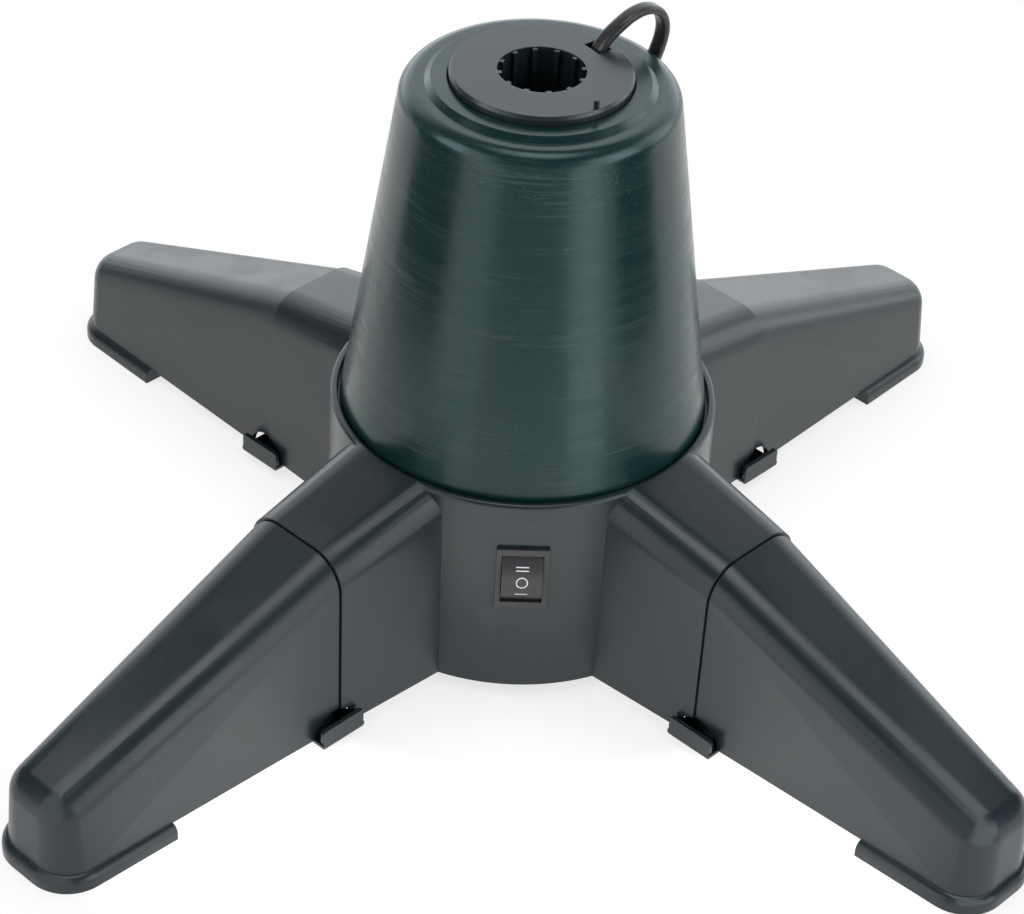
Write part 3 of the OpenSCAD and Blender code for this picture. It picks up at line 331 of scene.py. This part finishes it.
def make_materials():
    """All finishes, by material slot."""
    return {
        "leg_plastic": moulded_plastic("leg_plastic", (0.0080, 0.0135, 0.0155), (0.0105, 0.0170, 0.0195),
                                       (0.16, 0.17, 0.17), 0.27),
        "cover_plastic": turned_plastic("cover_plastic", (0.0030, 0.0170, 0.0160), (0.0050, 0.0235, 0.0220),
                                        (0.14, 0.17, 0.165), 0.23),
        "disc_plastic": moulded_plastic("disc_plastic", (0.0115, 0.0180, 0.0195), (0.0155, 0.0235, 0.0255),
                                        (0.18, 0.20, 0.20), 0.24),
        "black_plastic": moulded_plastic("black_plastic", (0.010, 0.012, 0.012), (0.017, 0.019, 0.019),
                                         (0.10, 0.10, 0.10), 0.38, edge_radius=0.35 * MM),
        "switch_plastic": moulded_plastic("switch_plastic", (0.022, 0.020, 0.021), (0.032, 0.029, 0.030),
                                          (0.12, 0.11, 0.11), 0.36, edge_radius=0.3 * MM),
        "cord_jacket": cord_jacket("cord_jacket"),
        "zinc_steel": metal("zinc_steel", (0.60, 0.61, 0.63), 0.30),
        "motor_steel": metal("motor_steel", (0.52, 0.53, 0.55), 0.34, (0.02, 0.02, 1.0)),
        "bearing_steel": metal("bearing_steel", (0.66, 0.67, 0.69), 0.16),
        "nylon": nylon("nylon", (0.76, 0.76, 0.70)),
        "brass": metal("brass", (0.62, 0.44, 0.16), 0.28),
        "carbon": moulded_plastic("carbon", (0.020, 0.020, 0.021), (0.034, 0.034, 0.035),
                                  (0.10, 0.10, 0.10), 0.55, edge_radius=0.1 * MM),
        "ink": print_white("ink"),
    }


def smooth_group():
    """Modifier nodes that shade a solid smooth, but for its sharp edges."""
    group = bpy.data.node_groups.new("smooth_by_angle", "GeometryNodeTree")
    group.interface.new_socket("Geometry", in_out="INPUT", socket_type="NodeSocketGeometry")
    group.interface.new_socket("Geometry", in_out="OUTPUT", socket_type="NodeSocketGeometry")
    source = group.nodes.new("NodeGroupInput")
    target = group.nodes.new("NodeGroupOutput")
    angle = group.nodes.new("GeometryNodeInputMeshEdgeAngle")
    compare = group.nodes.new("FunctionNodeCompare")
    compare.data_type = "FLOAT"
    compare.operation = "GREATER_THAN"
    compare.inputs["B"].default_value = SMOOTH_ANGLE
    group.links.new(angle.outputs["Unsigned Angle"], compare.inputs["A"])
    smooth_faces = group.nodes.new("GeometryNodeSetShadeSmooth")
    smooth_faces.domain = "FACE"
    sharp_edges = group.nodes.new("GeometryNodeSetShadeSmooth")
    sharp_edges.domain = "EDGE"
    sharp_edges.inputs["Shade Smooth"].default_value = False
    group.links.new(source.outputs["Geometry"], smooth_faces.inputs["Geometry"])
    group.links.new(smooth_faces.outputs["Geometry"], sharp_edges.inputs["Geometry"])
    group.links.new(compare.outputs["Result"], sharp_edges.inputs["Selection"])
    group.links.new(sharp_edges.outputs["Geometry"], target.inputs["Geometry"])
    return group


def dress(node, material, group):
    """Gives a node its finish, and smooth shading across its facets."""
    thing = NODES[node]
    thing.data.materials.clear()
    thing.data.materials.append(material)
    weld = thing.modifiers.new("weld", "WELD")
    weld.merge_threshold = WELD_DISTANCE
    smooth = thing.modifiers.new("smooth", "NODES")
    smooth.node_group = group
    weighted = thing.modifiers.new("weighted", "WEIGHTED_NORMAL")
    weighted.keep_sharp = True


def dress_nodes(materials):
    """Dresses every node in the finish that its record names."""
    group = smooth_group()
    slots = {row["node"]: row["material_slot"] for row in frame["record"]["subparts"]}
    for node in NODES:
        dress(node, materials[slots[node]], group)


# ------------------------------------------------------------------ output cord

# Azimuth in degrees, radius and height in metres, as in the part's source
CORD_ROUTE = [
    (40, 0.0315, 0.264), (40, 0.0315, 0.269), (39.5, 0.0322, 0.273), (38.5, 0.035, 0.277),
    (37.5, 0.0385, 0.2802), (37, 0.0425, 0.2828), (37, 0.047, 0.2848), (37, 0.052, 0.2858),
    (37.2, 0.057, 0.2854), (37.6, 0.0615, 0.2834), (38, 0.065, 0.28), (38.4, 0.0672, 0.2756),
    (38.7, 0.068, 0.271), (39.2, 0.0678, 0.266), (40, 0.0672, 0.261), (41.3, 0.0666, 0.255),
    (43, 0.0666, 0.248), (44.5, 0.0673, 0.239), (46.5, 0.0686, 0.228), (49, 0.0701, 0.216),
    (51, 0.0717, 0.204), (53, 0.0734, 0.192), (54.3, 0.0751, 0.18), (55, 0.0765, 0.17),
    (55, 0.0777, 0.161), (55, 0.079, 0.152)]
CORD_WIDTH, CORD_THICKNESS = 0.0072, 0.0042
CORD_SIDES = 28
STEPS_PER_SPAN = 5
# Below 1, this power makes the round section squarer
SECTION_POWER = 0.7
VALLEY_DEPTH, VALLEY_WIDTH = 0.06, 0.22


def spline_point(p0, p1, p2, p3, t):
    """Catmull-Rom curve from p1 to p2."""
    return 0.5 * (2 * p1 + (p2 - p0) * t + (2 * p0 - 5 * p1 + 4 * p2 - p3) * t * t
                  + (3 * p1 - p0 - 3 * p2 + p3) * t ** 3)


def cord_path():
    """Points along the cord, and at each the level direction across it."""
    raw = [Vector(p) for p in CORD_ROUTE]
    ends = [2 * raw[0] - raw[1], *raw, 2 * raw[-1] - raw[-2]]
    points, across = [], []
    for i in range(len(raw) - 1):
        last_span = i == len(raw) - 2
        for k in range(STEPS_PER_SPAN + (1 if last_span else 0)):
            azimuth, radius, height = spline_point(*ends[i:i + 4], k / STEPS_PER_SPAN)
            a = math.radians(azimuth)
            points.append(Vector((radius * math.cos(a), radius * math.sin(a), height)))
            across.append(Vector((-math.sin(a), math.cos(a), 0.0)))
    return points, across


def flat_section():
    """Outline of the flat lead: two round cores side by side under one jacket, with a shallow valley."""
    outline = []
    for k in range(CORD_SIDES):
        a = 2 * math.pi * (k + 0.5) / CORD_SIDES
        x = math.copysign(abs(math.cos(a)) ** SECTION_POWER, math.cos(a))
        y = math.copysign(abs(math.sin(a)) ** SECTION_POWER, math.sin(a))
        valley = 1 - VALLEY_DEPTH * math.exp(-(x / VALLEY_WIDTH) ** 2)
        outline.append((CORD_WIDTH / 2 * x, CORD_THICKNESS / 2 * y * valley))
    return outline


def make_cord(material):
    """The flat lead, swept along its route."""
    points, across = cord_path()
    outline = flat_section()
    vertices, faces = [], []
    for i, point in enumerate(points):
        tangent = (points[min(i + 1, len(points) - 1)] - points[max(i - 1, 0)]).normalized()
        wide = (across[i] - across[i].dot(tangent) * tangent).normalized()
        thick = tangent.cross(wide)
        vertices += [point + x * wide + y * thick for x, y in outline]
    n = len(outline)
    for i in range(len(points) - 1):
        for k in range(n):
            a, b = i * n + k, i * n + (k + 1) % n
            faces.append((a, b, b + n, a + n))
    faces.append(tuple(reversed(range(n))))
    faces.append(tuple(range((len(points) - 1) * n, len(points) * n)))
    mesh = bpy.data.meshes.new("output_lead")
    mesh.from_pydata(vertices, [], faces)
    mesh.polygons.foreach_set("use_smooth", [len(f) == 4 for f in faces])
    mesh.materials.append(material)
    lead = bpy.data.objects.new("output_lead", mesh)
    bpy.context.scene.collection.objects.link(lead)
    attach(lead, "turning_head")
    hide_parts("output_cord")


# ------------------------------------------------------------------ switch marks

SWITCH_Z = 0.068
PIVOT_Y = -0.082
CROWN_RADIUS = 0.0206
CROWN_OUT = 0.0075
INK_LIFT = 0.00004
# Sizes of the marks, and their heights above the pivot
MARK_WIDTH = 0.0057
STROKE = 0.0005
TWO_HEIGHTS = (0.0061, 0.0077)
ONE_HEIGHT = -0.0072
RING_RADIUS, RING_STRETCH = 0.0024, 1.15
BAR_STEPS, RING_STEPS = 8, 40


def crown_y(height):
    """Y of the rocker's crowned face at a height above its pivot."""
    return PIVOT_Y + (CROWN_RADIUS - CROWN_OUT) - math.sqrt(CROWN_RADIUS ** 2 - height ** 2) - INK_LIFT


def mark_mesh(name, strips, material):
    """A thin printed mark. Each strip is a list of (x, height) pairs for its two edges."""
    vertices, faces = [], []
    for inner, outer in strips:
        base = len(vertices)
        for (xi, hi), (xo, ho) in zip(inner, outer):
            vertices += [(xi, crown_y(hi), SWITCH_Z + hi), (xo, crown_y(ho), SWITCH_Z + ho)]
        for i in range(len(inner) - 1):
            a = base + 2 * i
            faces.append((a, a + 1, a + 3, a + 2))
    mesh = bpy.data.meshes.new(name)
    mesh.from_pydata(vertices, [], faces)
    mesh.materials.append(material)
    mark = bpy.data.objects.new(name, mesh)
    bpy.context.scene.collection.objects.link(mark)
    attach(mark, "rocker")


def bar_strip(height):
    """The two edges of a level bar at this height."""
    xs = [MARK_WIDTH * (k / BAR_STEPS - 0.5) for k in range(BAR_STEPS + 1)]
    return ([(x, height - STROKE / 2) for x in xs], [(x, height + STROKE / 2) for x in xs])


def ring_strip():
    """The inner and outer edge of the ring at the pivot's height."""
    turns = [2 * math.pi * k / RING_STEPS for k in range(RING_STEPS + 1)]
    return tuple([(r * math.cos(a), RING_STRETCH * r * math.sin(a)) for a in turns]
                 for r in (RING_RADIUS - STROKE / 2, RING_RADIUS + STROKE / 2))


def make_marks(material):
    """The rocker's marks: two bars, a ring at the pivot, and one bar."""
    mark_mesh("mark_two", [bar_strip(height) for height in TWO_HEIGHTS], material)
    mark_mesh("mark_off", [ring_strip()], material)
    mark_mesh("mark_one", [bar_strip(ONE_HEIGHT)], material)


# ------------------------------------------------------------------ stage and light

# Bearings are in degrees from -Y towards +X, and distances from the stand's axis in metres.

FLOOR_HALF = 6.0
SHADOW_REACH, SHADOW_SAMPLES = 0.06, 16
# Painted shadow: the floor's light where ambient occlusion finds it closed in, and the share of open view
# at which it is white
SHADOW_LIGHT, OPEN_SHARE = 0.7, 0.85

# A painted pool of light in the floor's glow, between the front legs
POOL_DISTANCE, POOL_HALF_WIDTH, POOL_SOFTNESS = 0.21, 0.055, 0.025
POOL_BEARING, POOL_BEARING_SOFTNESS = 42.0, 10.0
POOL_LIGHT = 0.75

# Upright softboxes and dark flags: name, bearing, distance, width, foot, top and light
CARDS = (("softbox_left", -40.5, 0.36, 0.150, 0.001, 0.30, 1.35),
         ("softbox_right", 33.5, 0.36, 0.135, 0.001, 0.33, 2.15),
         ("raised_left", -69.0, 0.37, 0.160, 0.30, 0.55, 3.2),
         ("raised_right", 64.0, 0.37, 0.160, 0.30, 0.55, 3.4),
         ("flag_left", -80.0, 0.36, 0.290, 0.045, 0.27, 0.10),
         ("flag_right", 71.0, 0.36, 0.215, 0.045, 0.27, 0.04),
         ("flag_front", -4.0, 0.60, 0.520, 0.001, 0.34, 0.50))

# Light of the room and of its rear wall, by the sine of the elevation
ROOM_BY_HEIGHT = ((0.0, 0.6), (0.12, 0.3), (0.30, 0.2), (0.60, 0.2),
                  (0.80, 0.08), (0.93, 0.08), (0.975, 2.6), (1.0, 4.0))
WALL_BY_HEIGHT = ((0.0, 2.4), (0.15, 2.3), (0.50, 1.6), (0.70, 1.50),
                  (0.77, 0.12), (0.93, 0.08), (0.975, 2.6), (1.0, 4.0))
# Bearings, on both sides, over which the room gives way to the wall
WALL_FROM, WALL_TO = 112.0, 146.0
# Bright parts of the room: bearing, half width, softness and light, up to the sine of an elevation
ROOM_BOXES = ((-55.0, 18.0, 6.0, 1.8), (55.0, 18.0, 6.0, 2.6), (108.0, 14.0, 7.0, 2.6))
BOX_TOP_FROM, BOX_TOP_TO = 0.55, 0.70
# Tint of the room, the softboxes and the flags
LIGHT_TINT = (0.93, 1.0, 1.05)


def bearing(tree, parts):
    """The bearing of a direction or a place, given its X and Y."""
    back = tree.math("MULTIPLY", parts["Y"], -1.0)
    return tree.math("MULTIPLY", tree.math("ARCTAN2", parts["X"], back), 180 / math.pi)


def stage_sheet(name, corners, material):
    """A flat four-cornered piece of the stage."""
    mesh = bpy.data.meshes.new(name)
    mesh.from_pydata(corners, [], [(0, 1, 2, 3)])
    mesh.materials.append(material)
    sheet = bpy.data.objects.new(name, mesh)
    bpy.context.scene.collection.objects.link(sheet)
    return sheet


def glowing(name, colour):
    """A surface that only shines: its tree, and its light."""
    tree = Tree(bpy.data.materials.new(name))
    light = tree.add("ShaderNodeEmission")
    light.inputs["Color"].default_value = (*colour, 1.0)
    tree.link(light.outputs["Emission"], tree.nodes["Material Output"].inputs["Surface"])
    tree.owner.cycles.emission_sampling = "NONE"
    return tree, light


def make_stage():
    """A white glowing floor that runs on past the view, with the stand's shadow painted into its glow where
    ambient occlusion finds it closed in, and a painted pool of light.
    """
    tree, light = glowing("floor", (1.0, 1.0, 1.0))
    shade = tree.add("ShaderNodeAmbientOcclusion", samples=SHADOW_SAMPLES)
    shade.inputs["Distance"].default_value = SHADOW_REACH
    # Painted shadow: the floor's glow is dimmed where ambient occlusion finds it closed in
    shadow = tree.remap(shade.outputs["AO"], 0.0, OPEN_SHARE, SHADOW_LIGHT, 1.0, smooth=False)
    parts = tree.split(tree.add("ShaderNodeNewGeometry").outputs["Position"])
    squares = [tree.math("MULTIPLY", parts[axis], parts[axis]) for axis in "XY"]
    distance = tree.math("SQRT", tree.math("ADD", *squares), 0.0)
    # Painted pool of light: the floor glows brighter in a band between the front legs
    pool = tree.math("MULTIPLY", tree.bell(distance, POOL_DISTANCE, POOL_HALF_WIDTH, POOL_SOFTNESS),
                     tree.bell(bearing(tree, parts), 0.0, POOL_BEARING, POOL_BEARING_SOFTNESS))
    glow = tree.math("ADD", tree.math("MULTIPLY", pool, POOL_LIGHT), 1.0)
    tree.link(tree.math("MULTIPLY", shadow, glow), light.inputs["Strength"])
    corners = [(FLOOR_HALF * x, FLOOR_HALF * y, 0) for x, y in ((-1, -1), (1, -1), (1, 1), (-1, 1))]
    stage_sheet("floor", corners, tree.owner)


def make_cards():
    """The softboxes and flags, upright and facing the stand. The camera looks past them."""
    for name, degrees, distance, width, foot, top, strength in CARDS:
        a = math.radians(degrees)
        centre = Vector((math.sin(a), -math.cos(a), 0.0)) * distance
        along = Vector((math.cos(a), math.sin(a), 0.0)) * width / 2
        low, high = Vector((0.0, 0.0, foot)), Vector((0.0, 0.0, top))
        corners = [centre - along + low, centre + along + low,
                   centre + along + high, centre - along + high]
        tree, light = glowing(name, LIGHT_TINT)
        light.inputs["Strength"].default_value = strength
        card = stage_sheet(name, corners, tree.owner)
        card.visible_camera = card.visible_shadow = False


def make_world():
    """The room round the stand, with its bright wall, bright parts and light overhead."""
    world = bpy.data.worlds.new("studio")
    bpy.context.scene.world = world
    tree = Tree(world)
    parts = tree.split(tree.add("ShaderNodeTexCoord").outputs["Generated"])
    height = parts["Z"]
    angle = bearing(tree, parts)
    room, wall = (tree.curve(height, stops) for stops in (ROOM_BY_HEIGHT, WALL_BY_HEIGHT))
    turned = tree.math("ABSOLUTE", angle, 0.0)
    glow = tree.blend(tree.remap(turned, WALL_FROM, WALL_TO, 0.0, 1.0), room, wall)
    below = tree.remap(height, BOX_TOP_FROM, BOX_TOP_TO, 1.0, 0.0)
    for *place, light in ROOM_BOXES:
        glow = tree.blend(tree.math("MULTIPLY", tree.bell(angle, *place), below), glow, light)
    background = tree.nodes["Background"]
    background.inputs["Color"].default_value = (*LIGHT_TINT, 1.0)
    tree.link(glow, background.inputs["Strength"])


bpy.context.scene.view_settings.view_transform = "Standard"
make_camera()
MATERIALS = make_materials()
make_cord(MATERIALS["cord_jacket"])
dress_nodes(MATERIALS)
make_marks(MATERIALS["ink"])
make_stage()
make_cards()
make_world()
